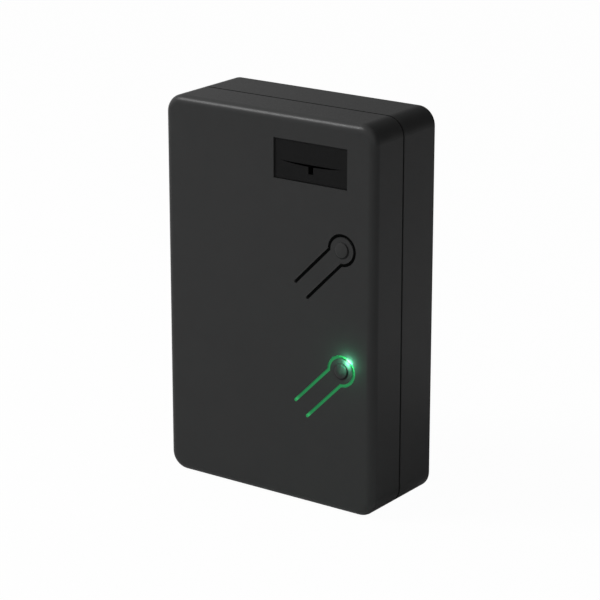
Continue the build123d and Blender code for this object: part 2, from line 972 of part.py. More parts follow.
def receiver_shield():
    width = shield_width_share * (receiver_right() - receiver_left())
    length = shield_length_share * receiver_length()
    x = receiver_left() + shield_from_side + width / 2
    y = logic_low + receiver_length() - shield_from_top - length / 2
    low = receiver_low() + receiver_thickness
    can = block(x, y, width, length, low, low + shield_height)
    can = fillet(can.edges().filter_by(Axis.Z), shield_edge_radius)
    can = fillet(top_edges(can), shield_edge_radius)
    inside = 2 * shield_wall
    return can - block(x, y, width - inside, length - inside, low - overrun,
                       low + shield_height - shield_wall)


def coil_points():
    """Points and headings half a turn apart, for as many turns as fit along the board's height."""
    axis_z = board_top + coil_lift + coil_wire_radius + coil_radius
    start_y = logic_low + coil_start_gap
    end_y = board_high - board_hole_inset - board_screw_head_radius - coil_screw_gap
    turn_count = int((end_y - start_y) / coil_pitch)
    points = []
    for half_turn in range(2 * turn_count + 1):
        angle = math.pi * half_turn
        across = coil_radius * math.cos(angle)
        out = coil_radius * math.sin(angle)
        heading = Vector(-out, coil_pitch / (2 * math.pi), across)
        point = Vector(coil_x() + across, start_y + coil_pitch * half_turn / 2, axis_z + out)
        points.append((point, heading.normalized()))
    return points


def biarc(start, heading, end, end_heading):
    """Two arcs that meet smoothly, from start to end, tangent to both headings."""
    gap = end - start
    total = heading + end_heading
    a = 2 * (heading.dot(end_heading) - 1)
    b = -2 * gap.dot(total)
    c = gap.dot(gap)
    reach = (-b - math.sqrt(b * b - 4 * a * c)) / (2 * a)
    middle = (start + heading * reach + end - end_heading * reach) * (1 / 2)
    first = Edge.make_tangent_arc(start, heading, middle)
    return [first, Edge.make_tangent_arc(middle, first.tangent_at(1), end)]


def antenna_coil():
    """Quarter-wave spring antenna: a straight leg up from the board, the turns, and a straight end."""
    points = coil_points()
    first, heading = points[0]
    rise = first.Z - board_top - coil_leg_gap
    foot = first - heading * (rise / heading.Z)
    edges = [Edge.make_line(foot, first)]
    for (start, start_heading), (end, end_heading) in zip(points, points[1:]):
        edges += biarc(start, start_heading, end, end_heading)
    last, last_heading = points[-1]
    tail = last + last_heading * (2 * coil_wire_radius)
    edges.append(Edge.make_line(last, tail))
    path = Wire(edges)
    print_coil_gap(edges)
    section = Plane(origin=foot, z_dir=heading) * RegularPolygon(coil_wire_radius, coil_side_count)
    return sweep(section, path=path)


def print_coil_gap(edges):
    """Least gap of the wire to itself, measured between points at least half a turn apart."""
    steps = range(coil_sample_count)
    samples = [edge @ (step / coil_sample_count) for edge in edges[1:-1] for step in steps]
    half_turn = 2 * coil_sample_count
    gaps = []
    for index, sample in enumerate(samples):
        gaps += [(sample - other).length for other in samples[index + half_turn:]]
    print("least gap between the coil's turns:", round(min(gaps) - 2 * coil_wire_radius, 3), "mm")
    print("wire length:", round(sum(edge.length for edge in edges), 1), "mm")


# Small board parts

def resistor_x():
    switch_x = switch_place(button_rises["upper"])[0]
    return switch_x - switch_size / 2 - resistor_switch_gap - small_length / 2


def resistor_places():
    low = logic_low + resistor_end_gap
    count = int((board_high - resistor_end_gap - low) / resistor_pitch)
    return [(resistor_x(), low + index * resistor_pitch) for index in range(count)]


def upper_row_y():
    return lamp_place(button_rises["upper"])[1] + sleeve_radius + chip_capacitor_gap


def chip_capacitor_places():
    """One row above the upper lamp, and one below the upper switch."""
    switch_y = switch_place(button_rises["upper"])[1]
    rows = (upper_row_y(), switch_y - switch_size / 2 - chip_capacitor_gap)
    first = board_right - chip_capacitor_side_gap - small_length / 2
    columns = [first - index * chip_capacitor_pitch for index in range(chip_capacitor_count)]
    return [(x, y) for y in rows for x in columns]


def small_bodies(places):
    length = small_length - 2 * small_cap_length
    top = board_top + small_height
    return together([block(x, y, length, small_width, board_top, top) for x, y in places])


def small_end_caps(places):
    caps = []
    top = board_top + small_height + small_cap_thickness
    width = small_width + 2 * small_cap_thickness
    for x, y in places:
        for side in (-1, 1):
            cap_x = x + side * (small_length - small_cap_length) / 2
            caps.append(block(cap_x, y, small_cap_length, width, board_top, top))
    return together(caps)


def relay_diodes():
    diodes = []
    y = relay_high + diode_row_gap
    radius = diode_radius + diode_band_thickness
    for index in range(relay_count):
        x = relay_left(index) + (relay_width - diode_length) / 2
        place = Plane(origin=(x, y, board_top + radius), x_dir=(0, 1, 0), z_dir=(1, 0, 0))
        diode = place * extrude(Circle(diode_radius), amount=diode_length)
        for start in (0, diode_length - diode_band_length):
            diode += place * Pos(0, 0, start) * extrude(Circle(radius), amount=diode_band_length)
        diodes.append(diode)
    return together(diodes)


def driver_transistors():
    drivers = []
    top = board_top + transistor_height
    lead_top = board_top + transistor_height / 2
    for index in range(relay_count):
        x = first_driver_x() + index * (transistor_width + power_part_gap)
        body = block(x, power_y, transistor_width, transistor_length, board_top, top)
        lead_y = (transistor_length + transistor_lead_reach) / 2
        side = (transistor_width - transistor_lead_width) / 2
        for lead_x, end in ((-side, -1), (side, -1), (0, 1)):
            body += block(x + lead_x, power_y + end * lead_y, transistor_lead_width, transistor_lead_reach,
                          board_top, lead_top)
        drivers.append(body)
    return together(drivers)


nodes = {
    "rear_cover": rear_cover(),
    "front_cover": front_cover(),
    "window_insert": window_insert(),
    "case_screws": case_screws(),
    "cable_grommet": cable_grommet(),
    "circuit_board": circuit_board(),
    "board_screws": board_screws(),
    "led_sleeves": together([lamp_sleeve(rise) for rise in button_rises.values()]),
    "switch_plates": together([switch_plate(rise) for rise in button_rises.values()]),
    "terminal_block": terminal_block(),
    "terminal_screws": terminal_screws(),
    "terminal_cages": terminal_cages(),
    "relay_channel_1": relay(0),
    "relay_channel_2": relay(1),
    "relay_diodes": relay_diodes(),
    "driver_transistors": driver_transistors(),
    "smoothing_capacitors": smoothing_capacitors(),
    "voltage_regulator": voltage_regulator(),
    "fuse": fuse(),
    "varistor": varistor(),
    "bridge_rectifier": bridge_rectifier(),
    "microcontroller": chip_body(controller_place(), controller_width, controller_length,
                                 controller_height),
    "microcontroller_leads": chip_leads(controller_place(), controller_width, controller_height,
                                        controller_lead_count, controller_lead_reach),
    "memory_chip": chip_body(memory_place(), memory_width, memory_length, memory_height),
    "memory_chip_leads": chip_leads(memory_place(), memory_width, memory_height,
                                    memory_lead_count, memory_lead_reach),
    "quartz_crystal": quartz_crystal(),
    "receiver_board": receiver_board(),
    "receiver_header": receiver_header(),
    "receiver_pins": receiver_pins(),
    "receiver_shield": receiver_shield(),
    "antenna_coil": antenna_coil(),
    "chip_resistors": small_bodies(resistor_places()),
    "chip_capacitors": small_bodies(chip_capacitor_places()),
    "chip_end_caps": small_end_caps(resistor_places() + chip_capacitor_places()),
}
for name, rise in button_rises.items():
    nodes["button_" + name] = button(rise)
    nodes["light_guide_" + name] = light_guide(rise)
    nodes["led_" + name] = lamp(rise)
    nodes["tact_switch_" + name] = tact_switch(rise)
    nodes["switch_stem_" + name] = switch_stem(rise)

# The back lies as far behind the origin as the nubs stand in front of it
back_y = (case_depth + nub_height) / 2
part_frame = Plane(origin=(0, back_y, 0), x_dir=(1, 0, 0), z_dir=(0, -1, 0))

os.makedirs("parts", exist_ok=True)
for node, shape in nodes.items():
    export_step(part_frame.location * shape, "parts/" + node + ".step")
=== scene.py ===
"""Looks of the two-channel garage door controller: finishes, board details, light and camera.

Sizes are in metres, in the frame of the CAD model: +Z up, the front with the buttons faces -Y.
"""

import math

import bpy
import numpy as np
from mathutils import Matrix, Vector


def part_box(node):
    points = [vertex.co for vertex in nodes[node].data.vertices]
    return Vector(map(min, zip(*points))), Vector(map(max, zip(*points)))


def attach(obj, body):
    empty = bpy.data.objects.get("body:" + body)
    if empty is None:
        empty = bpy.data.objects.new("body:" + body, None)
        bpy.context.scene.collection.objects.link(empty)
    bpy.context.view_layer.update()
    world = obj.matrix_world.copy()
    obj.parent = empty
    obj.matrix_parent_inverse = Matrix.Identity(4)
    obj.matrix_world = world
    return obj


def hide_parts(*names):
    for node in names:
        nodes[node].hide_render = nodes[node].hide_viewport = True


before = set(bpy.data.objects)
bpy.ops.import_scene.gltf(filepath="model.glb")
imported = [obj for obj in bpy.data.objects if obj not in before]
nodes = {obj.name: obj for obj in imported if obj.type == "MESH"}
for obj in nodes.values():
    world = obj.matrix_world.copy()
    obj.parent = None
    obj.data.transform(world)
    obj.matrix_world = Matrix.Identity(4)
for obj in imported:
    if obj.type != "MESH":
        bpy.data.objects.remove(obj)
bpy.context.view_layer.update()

MM = 0.001
WHITE = (1.0, 1.0, 1.0)
BLACK = (0.0, 0.0, 0.0)


# Node helpers: each returns an output socket, so finishes read from the pattern to the shader

def put(tree, kind, settings=None, inputs=None):
    """A shader node with its settings, and its inputs set to values or linked to sockets."""
    made = tree.nodes.new(kind)
    for key, value in (settings or {}).items():
        setattr(made, key, value)
    for key, value in (inputs or {}).items():
        socket = made.inputs[key]
        if isinstance(value, bpy.types.NodeSocket):
            tree.links.new(value, socket)
        else:
            socket.default_value = value
    return made


def place_of(tree):
    return put(tree, "ShaderNodeTexCoord").outputs["Object"]


def noise(tree, place, grain, detail=2.0, rough=0.5):
    """Noise from 0 to 1, whose blotches are about grain metres across."""
    inputs = {"Vector": place, "Scale": 1 / grain, "Detail": detail, "Roughness": rough}
    return put(tree, "ShaderNodeTexNoise", inputs=inputs).outputs["Fac"]


def math_of(tree, operation, a, b=0.0, clamp=False):
    made = put(tree, "ShaderNodeMath", {"operation": operation, "use_clamp": clamp}, {0: a, 1: b})
    return made.outputs[0]


def between(tree, value, low, high):
    """1 where value lies between low and high, 0 elsewhere."""
    above = math_of(tree, "GREATER_THAN", value, low)
    return math_of(tree, "MULTIPLY", above, math_of(tree, "LESS_THAN", value, high))


def spread(tree, value, low, high, to_low=0.0, to_high=1.0, kind="LINEAR"):
    """value, stretched so that low to high becomes to_low to to_high."""
    inputs = {"Value": value, "From Min": low, "From Max": high,
              "To Min": to_low, "To Max": to_high}
    made = put(tree, "ShaderNodeMapRange", {"interpolation_type": kind}, inputs)
    return made.outputs["Result"]


def rough_from(tree, fleck, smoothest, roughest, low=0.3, high=0.7):
    """Roughness from smoothest to roughest, as a noise goes from low to high: most of its range."""
    return spread(tree, fleck, low, high, smoothest, roughest)


def tint(tree, share, first, second):
    """first where share is 0, second where it is 1."""
    made = put(tree, "ShaderNodeMix", {"data_type": "RGBA"})
    for name, value in (("Factor_Float", share), ("A_Color", first), ("B_Color", second)):
        socket = next(s for s in made.inputs if s.identifier == name)
        if isinstance(value, bpy.types.NodeSocket):
            tree.links.new(value, socket)
        else:
            socket.default_value = (*value, 1.0)
    return next(s for s in made.outputs if s.identifier == "Result_Color")


def along(tree, place):
    """The x, y and z of a place, each as its own socket."""
    split = put(tree, "ShaderNodeSeparateXYZ", inputs={"Vector": place})
    return [split.outputs[name] for name in "XYZ"]


def distance_from(tree, place, point):
    made = put(tree, "ShaderNodeVectorMath", {"operation": "DISTANCE"}, {0: place, 1: point})
    return made.outputs["Value"]


def distance_from_axis(tree, place, x, z):
    """How far a place is from the line that runs along y through x and z."""
    inputs = {0: place, 1: (1.0, 0.0, 1.0)}
    flat = put(tree, "ShaderNodeVectorMath", {"operation": "MULTIPLY"}, inputs)
    return distance_from(tree, flat.outputs["Vector"], (x, 0.0, z))


def relief(tree, height, depth, strength=1.0, under=None):
    """Normals of a surface whose height goes from 0 to 1 over depth metres."""
    inputs = {"Height": height, "Distance": depth, "Strength": strength}
    if under is not None:
        inputs["Normal"] = under
    return put(tree, "ShaderNodeBump", inputs=inputs).outputs["Normal"]


def empty_tree(owner):
    """The node tree of a material or world, with nothing in it."""
    owner.use_nodes = True
    owner.node_tree.nodes.clear()
    return owner.node_tree


finishes = {}


def finish(name, build):
    """A material made once by its build function, which fills in the main shader's inputs."""
    if name in finishes:
        return finishes[name]
    made = bpy.data.materials.new(name)
    tree = empty_tree(made)
    shader = put(tree, "ShaderNodeBsdfPrincipled")
    output = put(tree, "ShaderNodeOutputMaterial")
    tree.links.new(shader.outputs["BSDF"], output.inputs["Surface"])
    for key, value in build(tree, place_of(tree)).items():
        socket = shader.inputs[key]
        if isinstance(value, bpy.types.NodeSocket):
            tree.links.new(value, socket)
        elif socket.type == "RGBA":
            socket.default_value = (*value, 1.0)
        else:
            socket.default_value = value
    finishes[name] = made
    return made


# Places on the front that its finishes and the lamps' glow follow

NUB_X = 24.5 * MM
NUB_RISES = {"lower": 41.0 * MM, "upper": 75.0 * MM}
NUB_RADIUS = 2.1 * MM
LEG_LENGTH = 18.6 * MM
LIT_LAMP = (26.74 * MM, -13.975 * MM, 44.25 * MM)


# Light in and round the lit guide

LAMP_WHITE, LAMP_GREEN = 0.3 * MM, 1.1 * MM
FADE_FROM, FADE_TO = 3 * MM, 24 * MM
LEG_TIP = 2 * MM
OVER_LAMP = (0.76, 1.0, 0.74)
GUIDE_NEAR = (0.016, 0.215, 0.066)
GUIDE_FAR = (0.008, 0.12, 0.042)
GUIDE_TIP = (0.040, 0.42, 0.13)
SLOT_HALF = 3.23 * MM
SLOT_LENGTH = LEG_LENGTH + 0.5 * MM
SLOT_CIRCLE = 4.58 * MM
WALLS_TOP, WALLS_FOOT = -14.30 * MM, -12.95 * MM
WALL_GLOW = 0.6


def guide_streaks(tree, place):
    return noise(tree, place, 1.2 * MM, detail=3.0)


def guide_glow(tree, place):
    """Light in the lit guide: green, paler at the tips of its legs, nearly white over the lamp."""
    away = distance_from(tree, place, LIT_LAMP)
    near = spread(tree, away, LAMP_WHITE, LAMP_GREEN, 1.0, 0.0)
    far = spread(tree, away, FADE_FROM, FADE_TO)
    dim = math_of(tree, "MULTIPLY", far, guide_streaks(tree, place))
    x, _, z = along(tree, place)
    end = NUB_X + NUB_RISES["lower"] - math.sqrt(2) * LEG_LENGTH
    tips = spread(tree, math_of(tree, "ADD", x, z), end, end + LEG_TIP, 1.0, 0.0)
    green = tint(tree, tips, tint(tree, dim, GUIDE_NEAR, GUIDE_FAR), GUIDE_TIP)
    return tint(tree, near, green, OVER_LAMP)


def lit_slot_walls(tree, place):
    """The guide's light on the walls of its slot. The slot lies inside a strip along the tongue and
    a circle round the pad, so the walls are what is in either and between the front's two faces."""
    x, y, z = along(tree, place)
    across = math_of(tree, "SUBTRACT", x, NUB_X)
    up = math_of(tree, "SUBTRACT", z, NUB_RISES["lower"])
    run = math_of(tree, "MULTIPLY", math_of(tree, "ADD", up, across), math.sqrt(0.5))
    side = math_of(tree, "MULTIPLY", math_of(tree, "SUBTRACT", up, across), math.sqrt(0.5))
    beside = between(tree, side, -SLOT_HALF, SLOT_HALF)
    strip = math_of(tree, "MULTIPLY", beside, between(tree, run, -SLOT_LENGTH, 0.0))
    away = distance_from_axis(tree, place, NUB_X, NUB_RISES["lower"])
    zone = math_of(tree, "MAXIMUM", strip, math_of(tree, "LESS_THAN", away, SLOT_CIRCLE))
    walls = math_of(tree, "MULTIPLY", zone, between(tree, y, WALLS_TOP, WALLS_FOOT))
    share = math_of(tree, "MULTIPLY", walls, WALL_GLOW)
    return tint(tree, share, BLACK, guide_glow(tree, place))


# Finishes of the case

CASE_DARK = (0.0215, 0.0218, 0.0218)
CASE_LIGHT = (0.0250, 0.0253, 0.0252)
GROOVE_SHADE_FRONT, GROOVE_SHADE_BACK = -1.23 * MM, -0.67 * MM
INSIDE_X, INSIDE_Z = 33.0 * MM, 53.0 * MM
CASE_MIDDLE_Z = 55.0 * MM
WAVE_GRAINS, WAVE_DEPTHS = 40, 4
NUB_EDGE = 0.4 * MM
NUB_STEP = 0.06 * MM
CREASE_SHADE_SHIFT = 0.3 * MM
CREASE_SHADE_INSIDE = (NUB_RADIUS - 0.05 * MM, NUB_RADIUS + 0.2 * MM)
CREASE_SHADE_OUTSIDE = (NUB_RADIUS + 0.15 * MM, NUB_RADIUS + 0.4 * MM)
CREASE_SHADE_COLOUR = (0.001, 0.001, 0.001)


def mould_texture(tree, place, grain, depth, strength):
    """Spark-eroded mould texture: small rounded pits over a slightly wavy face."""
    pits = noise(tree, place, grain, detail=3.0, rough=0.6)
    waves = noise(tree, place, WAVE_GRAINS * grain, detail=1.0)
    under = relief(tree, waves, WAVE_DEPTHS * depth, strength=0.2)
    return relief(tree, pits, depth, strength, under)


def case_plastic(tree, place):
    """Matt black moulding. Over the parting gap, in the thickness of the outer walls, the colour is
    painted black as shade.
    """
    x, y, z = along(tree, place)
    past_x = math_of(tree, "GREATER_THAN", math_of(tree, "ABSOLUTE", x), INSIDE_X)
    rise = math_of(tree, "ABSOLUTE", math_of(tree, "SUBTRACT", z, CASE_MIDDLE_Z))
    outer = math_of(tree, "MAXIMUM", past_x, math_of(tree, "GREATER_THAN", rise, INSIDE_Z))
    # Painted shade: a band a little wider than the parting gap, in the outer walls only, gets a
    # black base colour and full roughness.
    level = between(tree, y, GROOVE_SHADE_FRONT, GROOVE_SHADE_BACK)
    groove_shade = math_of(tree, "MULTIPLY", level, outer)
    tone = noise(tree, place, 9 * MM, detail=3.0)
    speck = noise(tree, place, 0.35 * MM)
    return {
        "Base Color": tint(tree, groove_shade, tint(tree, tone, CASE_DARK, CASE_LIGHT), BLACK),
        "Roughness": math_of(tree, "MAXIMUM", rough_from(tree, speck, 0.32, 0.43), groove_shade),
        "Specular IOR Level": 0.15,
        "Coat Weight": 0.03,
        "Coat Roughness": 0.22,
        "Normal": mould_texture(tree, place, 0.28 * MM, 0.012 * MM, 0.5),
    }


def front_plastic(tree, place):
    """The case's plastic, with the lit guide's light on the walls of its slot."""
    inputs = case_plastic(tree, place)
    inputs["Emission Color"] = lit_slot_walls(tree, place)
    inputs["Emission Strength"] = 1.0
    return inputs


def button_plastic(side):
    """The front's plastic, with the soft shoulder that the nub has all round its foot. At the foot,
    a dark crescent is painted on as shade. It is widest at its lower right, the side away from the
    key light."""
    def build(tree, place):
        inputs = front_plastic(tree, place) if side == "lower" else case_plastic(tree, place)
        rise = NUB_RISES[side]
        away = distance_from_axis(tree, place, NUB_X, rise)
        beside = distance_from_axis(tree, place, NUB_X - CREASE_SHADE_SHIFT, rise + CREASE_SHADE_SHIFT / 2)
        shoulder = spread(tree, away, NUB_RADIUS - NUB_EDGE, NUB_RADIUS, 1.0, 0.0, "SMOOTHSTEP")
        inner = spread(tree, beside, *CREASE_SHADE_INSIDE)
        outer = spread(tree, away, *CREASE_SHADE_OUTSIDE, 1.0, 0.0)
        # Painted shade: a near-black crescent round the nub's foot, widest at its lower right, away
        # from the key light.
        crease_shade = math_of(tree, "MULTIPLY", inner, outer)
        inputs["Base Color"] = tint(tree, crease_shade, inputs["Base Color"], CREASE_SHADE_COLOUR)
        inputs["Normal"] = relief(tree, shoulder, NUB_STEP, under=inputs["Normal"])
        return inputs
    return build


def window_plastic(tree, place):
    """Smooth black plate, slightly scuffed."""
    tone = noise(tree, place, 5 * MM)
    scuff = noise(tree, place, 0.8 * MM, detail=4.0, rough=0.7)
    return {
        "Base Color": tint(tree, tone, (0.0016, 0.0016, 0.0017), (0.0028, 0.0028, 0.0029)),
        "Roughness": rough_from(tree, scuff, 0.40, 0.50, low=0.35),
        "Specular IOR Level": 0.12,
        "Normal": relief(tree, scuff, 0.003 * MM, strength=0.4),
    }


def bush_rubber(tree, place):
    """Dull rubber with a little bloom on it."""
    tone = noise(tree, place, 2 * MM, detail=4.0)
    bloom = noise(tree, place, 0.25 * MM, detail=3.0)
    return {
        "Base Color": tint(tree, tone, (0.010, 0.010, 0.011), (0.018, 0.018, 0.018)),
        "Roughness": rough_from(tree, bloom, 0.62, 0.78),
        "Specular IOR Level": 0.3,
        "Normal": relief(tree, bloom, 0.015 * MM, strength=0.5),
    }


# Finishes of the lamps and light guides

def lit_guide(tree, place):
    """Clear plastic that glows green all along, and nearly white over its lamp."""
    streak = guide_streaks(tree, place)
    return {
        "Base Color": (0.01, 0.05, 0.02),
        "Specular IOR Level": 0.1,
        "Roughness": rough_from(tree, streak, 0.30, 0.42),
        "Emission Color": guide_glow(tree, place),
        "Emission Strength": 1.0,
        "Normal": relief(tree, streak, 0.01 * MM, strength=0.3),
    }


def dark_guide(tree, place):
    """The guide's plastic with no light behind it. Its colour is near black, painted shade of the
    deep slot it stands in, so that it looks black in its slot.
    """
    streak = guide_streaks(tree, place)
    return {
        # Painted shade: near-black colour standing in for the shade of the slot.
        "Base Color": tint(tree, streak, (0.0006, 0.0008, 0.0007), (0.0016, 0.0020, 0.0018)),
        "Roughness": rough_from(tree, streak, 0.34, 0.46),
        "Specular IOR Level": 0.02,
        "Normal": relief(tree, streak, 0.01 * MM, strength=0.3),
    }


def lamp_resin(lit):
    """Cloudy green resin, which glows when it is lit."""
    def build(tree, place):
        cloud = noise(tree, place, 0.9 * MM)
        inputs = {
            "Base Color": tint(tree, cloud, (0.10, 0.34, 0.12), (0.16, 0.42, 0.18)),
            "Roughness": rough_from(tree, cloud, 0.12, 0.2, low=0.2, high=0.8),
            "Specular IOR Level": 0.5,
        }
        if lit:
            inputs["Emission Color"] = tint(tree, cloud, (0.55, 1.0, 0.55), (0.8, 1.0, 0.75))
            inputs["Emission Strength"] = 1.0
        return inputs
    return build


# Finishes of the board parts

MOTTLE_GRAINS, CLOUD_GRAINS = 12, 4
SCRATCH_STRETCH = 14.0
RUN_PITCH = 1.27 * MM
RUN_SHARE = 0.42
RUN_CELL = 9 * MM
EMPTY_CELLS = 0.42
LID_DEPTH = 0.3 * MM
MINUS_STRIPE = 2.6 * MM
DIODE_LENGTH = 4.6 * MM
RING_WIDTH = 0.55 * MM
RING_MARGIN = 0.05 * MM


def moulded(dark, light, rough=0.5, shine=0.4, grain=0.3 * MM, depth=0.01 * MM):
    """A moulded or coated small part: soft mottling and a fine matt skin."""
    def build(tree, place):
        tone = noise(tree, place, MOTTLE_GRAINS * grain, detail=3.0)
        skin = noise(tree, place, grain)
        return {
            "Base Color": tint(tree, tone, dark, light),
            "Roughness": rough_from(tree, skin, rough - 0.06, rough + 0.06),
            "Specular IOR Level": shine,
            "Normal": relief(tree, skin, depth, strength=0.5),
        }
    return build


def plated(dark, light, rough=0.3, grain=0.6 * MM):
    """Plated or drawn metal: cloudy tone, and fine scratches that run across it."""
    def build(tree, place):
        cloud = noise(tree, place, CLOUD_GRAINS * grain, detail=3.0)
        inputs = {"Vector": place, "Scale": (1.0, 1.0, SCRATCH_STRETCH)}
        stretch = put(tree, "ShaderNodeMapping", inputs=inputs)
        scratch = noise(tree, stretch.outputs["Vector"], grain, detail=4.0, rough=0.7)
        return {
            "Base Color": tint(tree, cloud, dark, light),
            "Metallic": 1.0,
            "Roughness": rough_from(tree, scratch, rough - 0.08, rough + 0.12),
            "Normal": relief(tree, scratch, 0.004 * MM, strength=0.4),
        }
    return build


def stripes(tree, value, pitch, share):
    """1 on stripes that repeat every pitch and cover share of it, 0 between them."""
    phase = math_of(tree, "FRACT", math_of(tree, "DIVIDE", value, pitch))
    return math_of(tree, "LESS_THAN", phase, share)


def board_laminate(mask_dark, mask_light, copper):
    """Solder mask over copper runs, which go up in some cells, across in others and miss some."""
    def build(tree, place):
        x, _, z = along(tree, place)
        settings = {"distance": "CHEBYCHEV", "voronoi_dimensions": "3D"}
        inputs = {"Vector": place, "Scale": 1 / RUN_CELL}
        cells = put(tree, "ShaderNodeTexVoronoi", settings, inputs).outputs["Color"]
        pick = put(tree, "ShaderNodeSeparateColor", inputs={"Color": cells}).outputs
        upright = stripes(tree, x, RUN_PITCH, RUN_SHARE)
        level = stripes(tree, z, RUN_PITCH, RUN_SHARE)
        turned = math_of(tree, "GREATER_THAN", pick["Red"], 0.5)
        runs = put(tree, "ShaderNodeMix", inputs={0: turned, 2: upright, 3: level}).outputs[0]
        filled = math_of(tree, "GREATER_THAN", pick["Green"], EMPTY_CELLS)
        copper_runs = math_of(tree, "MULTIPLY", runs, filled)
        mask = tint(tree, noise(tree, place, 3 * MM, detail=4.0), mask_dark, mask_light)
        weave = noise(tree, place, 0.4 * MM)
        return {
            "Base Color": tint(tree, copper_runs, mask, copper),
            "Roughness": rough_from(tree, weave, 0.30, 0.42),
            "Specular IOR Level": 0.5,
            "Normal": relief(tree, copper_runs, 0.03 * MM, strength=0.6),
        }
    return build


def banded_can(tree, place):
    """Capacitor: dark sleeve with a pale minus stripe on one side, and a bare lid."""
    x, y, _ = along(tree, place)
    low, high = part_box("smoothing_capacitors")
    middle = (low[0] + high[0]) / 2
    lid = math_of(tree, "LESS_THAN", y, float(low[1]) + LID_DEPTH)
    stripe = math_of(tree, "LESS_THAN", math_of(tree, "SUBTRACT", x, middle), -MINUS_STRIPE)
    cloud = noise(tree, place, 2 * MM, detail=3.0)
    sleeve = tint(tree, cloud, (0.014, 0.018, 0.045), (0.020, 0.026, 0.060))
    wrapped = tint(tree, stripe, sleeve, (0.42, 0.44, 0.46))
    return {
        "Base Color": tint(tree, lid, wrapped, (0.72, 0.73, 0.74)),
        "Metallic": lid,
        "Roughness": rough_from(tree, cloud, 0.28, 0.40),
        "Normal": relief(tree, cloud, 0.02 * MM, strength=0.3),
    }


def banded_diode(tree, place):
    """Black glass-filled body with a pale ring at its left end, on both diodes of the node."""
    x, _, _ = along(tree, place)
    low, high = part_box("relay_diodes")
    first = math_of(tree, "LESS_THAN", x, float(low[0]) + RING_WIDTH)
    start = float(high[0]) - DIODE_LENGTH
    second = between(tree, x, start - RING_MARGIN, start + RING_WIDTH)
    rings = math_of(tree, "ADD", first, second, clamp=True)
    grain = noise(tree, place, 0.4 * MM)
    body = tint(tree, grain, (0.012, 0.012, 0.012), (0.020, 0.020, 0.020))
    return {
        "Base Color": tint(tree, rings, body, (0.50, 0.51, 0.52)),
        "Roughness": rough_from(tree, grain, 0.32, 0.44),
        "Normal": relief(tree, grain, 0.006 * MM, strength=0.4),
    }


# Which finish each node has

black_screws = plated((0.020, 0.020, 0.021), (0.045, 0.045, 0.047), rough=0.40)
black_moulding = moulded((0.012, 0.012, 0.013), (0.019, 0.019, 0.020))
black_epoxy = moulded((0.016, 0.016, 0.017), (0.026, 0.026, 0.027), rough=0.58, grain=0.15 * MM)
resistor_black = moulded((0.010, 0.010, 0.011), (0.024, 0.024, 0.026), rough=0.35)
sleeve_nylon = moulded((0.014, 0.014, 0.015), (0.022, 0.022, 0.023), rough=0.45)
stem_nylon = moulded((0.020, 0.020, 0.021), (0.032, 0.032, 0.033), rough=0.42)
terminal_green = moulded((0.018, 0.150, 0.052), (0.026, 0.190, 0.070), rough=0.45)
relay_blue = moulded((0.010, 0.060, 0.300), (0.014, 0.085, 0.370), rough=0.38)
varistor_blue = moulded((0.020, 0.110, 0.330), (0.032, 0.150, 0.410), grain=0.8 * MM)
fuse_brown = moulded((0.070, 0.024, 0.012), (0.100, 0.036, 0.018), rough=0.40)
capacitor_tan = moulded((0.330, 0.210, 0.110), (0.430, 0.290, 0.170))
tinned = plated((0.55, 0.56, 0.58), (0.74, 0.75, 0.77), rough=0.30)
tinned_shield = plated((0.50, 0.51, 0.52), (0.70, 0.71, 0.72), rough=0.36)
zinc_screws = plated((0.42, 0.43, 0.45), (0.62, 0.63, 0.66), rough=0.34)
nickel_cages = plated((0.50, 0.48, 0.43), (0.68, 0.66, 0.60), rough=0.32)
crystal_can = plated((0.60, 0.61, 0.62), (0.80, 0.81, 0.82), rough=0.24)
copper_wire = plated((0.62, 0.27, 0.13), (0.83, 0.42, 0.22), rough=0.28)
green_board = board_laminate((0.006, 0.055, 0.022), (0.009, 0.075, 0.030),
                             (0.020, 0.135, 0.050))

